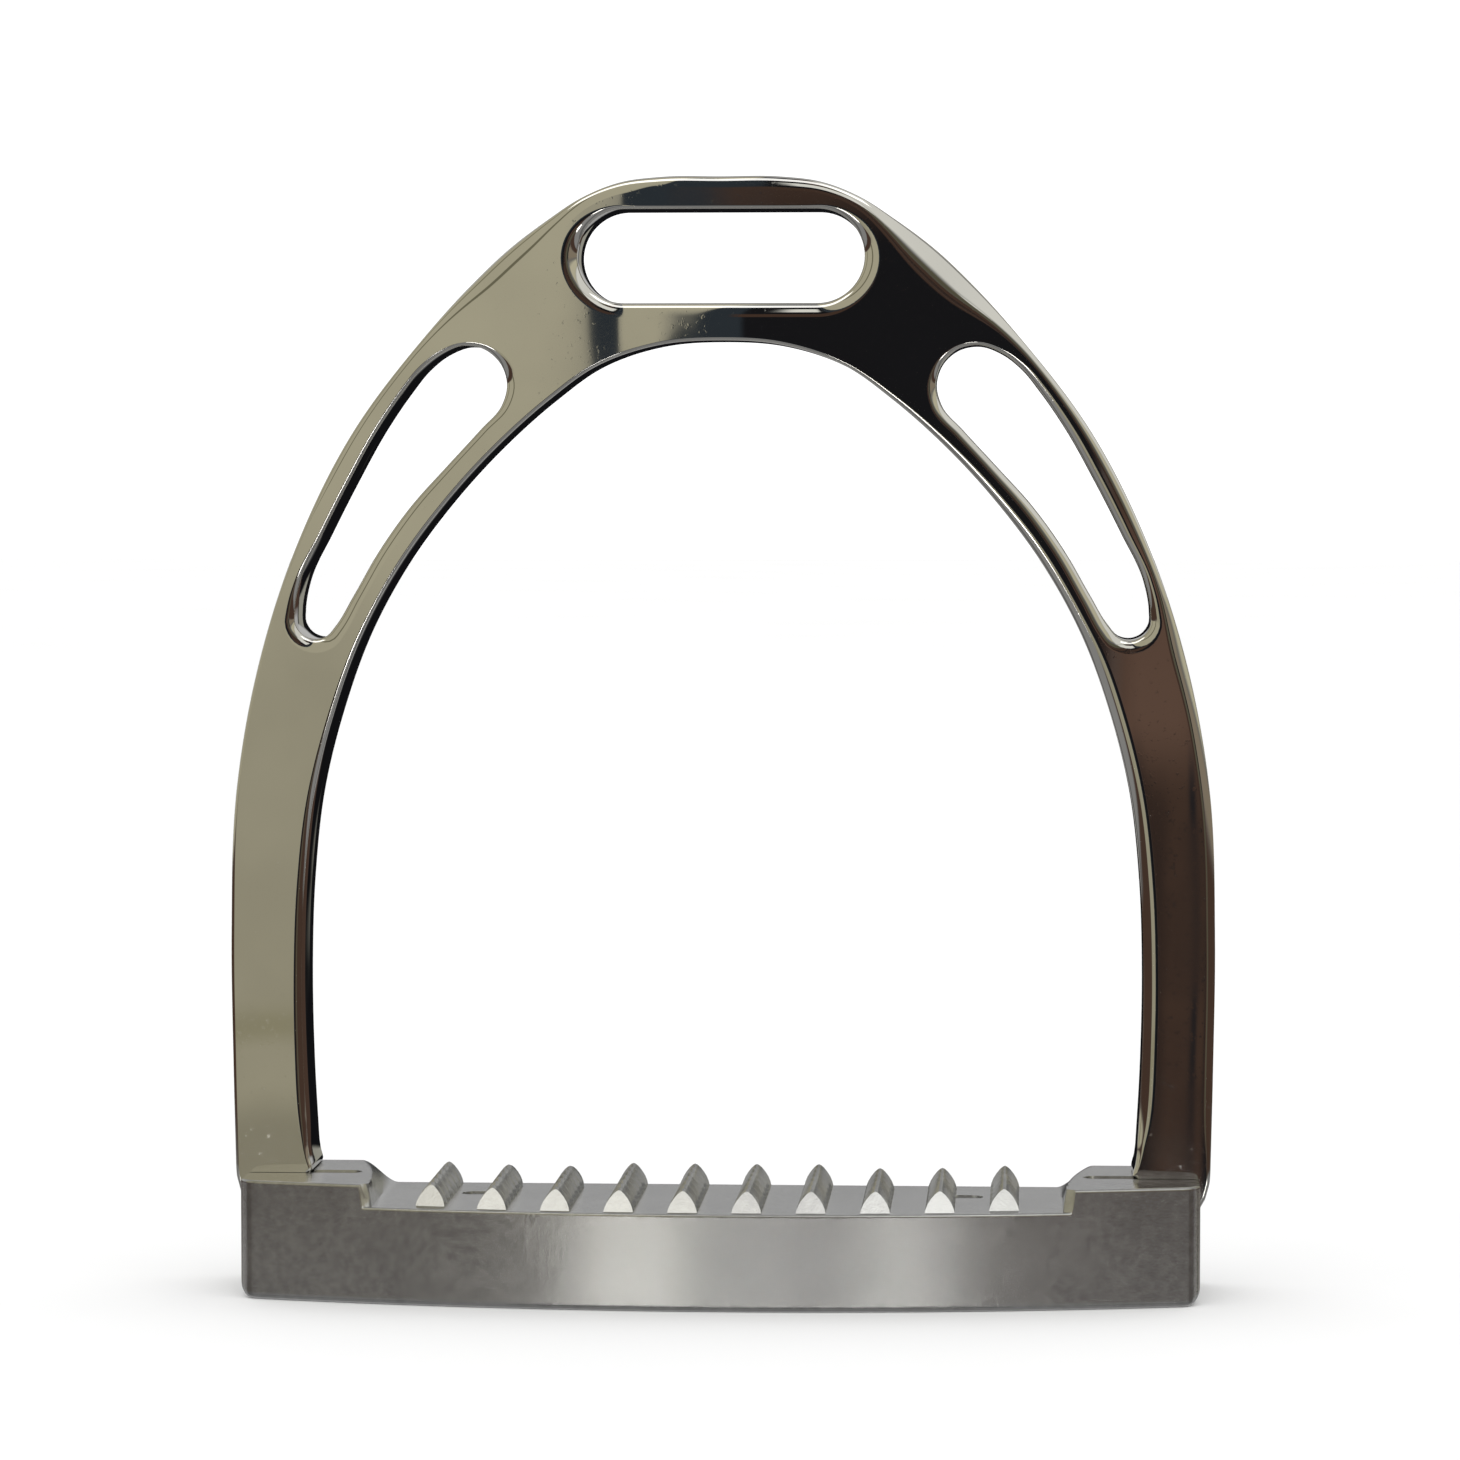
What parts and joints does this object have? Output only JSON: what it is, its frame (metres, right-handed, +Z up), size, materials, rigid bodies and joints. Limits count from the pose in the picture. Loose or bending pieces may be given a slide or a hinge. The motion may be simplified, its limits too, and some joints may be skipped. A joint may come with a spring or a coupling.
{
  "type": "stirrup iron",
  "caption": "Stirrup iron: polished arched bow with a leather eye and slotted shoulders, bolted into a satin aluminium footrest with a ridged tread.",
  "frame": {"origin": "under the middle of the iron, on the plane that the footrest stands on", "axes": "+X across the iron, +Z up through the arch, the bulging front of the footrest faces -Y"},
  "size_m": [0.1412, 0.0316, 0.1601],
  "materials": {
    "polished_steel": "hand-polished stainless steel, mirror bright",
    "satin_aluminium": "machined and bead-blasted, clear anodised",
    "plated_steel": "bright zinc plate",
    "spring_steel": "dark oiled spring steel"
  },
  "bodies": {
    "root": {"bow": "polished_steel", "footrest": "satin_aluminium", "foot_screw_left": "plated_steel", "foot_screw_right": "plated_steel", "lock_washer_left": "spring_steel", "lock_washer_right": "spring_steel"}
  },
  "joints": []
}
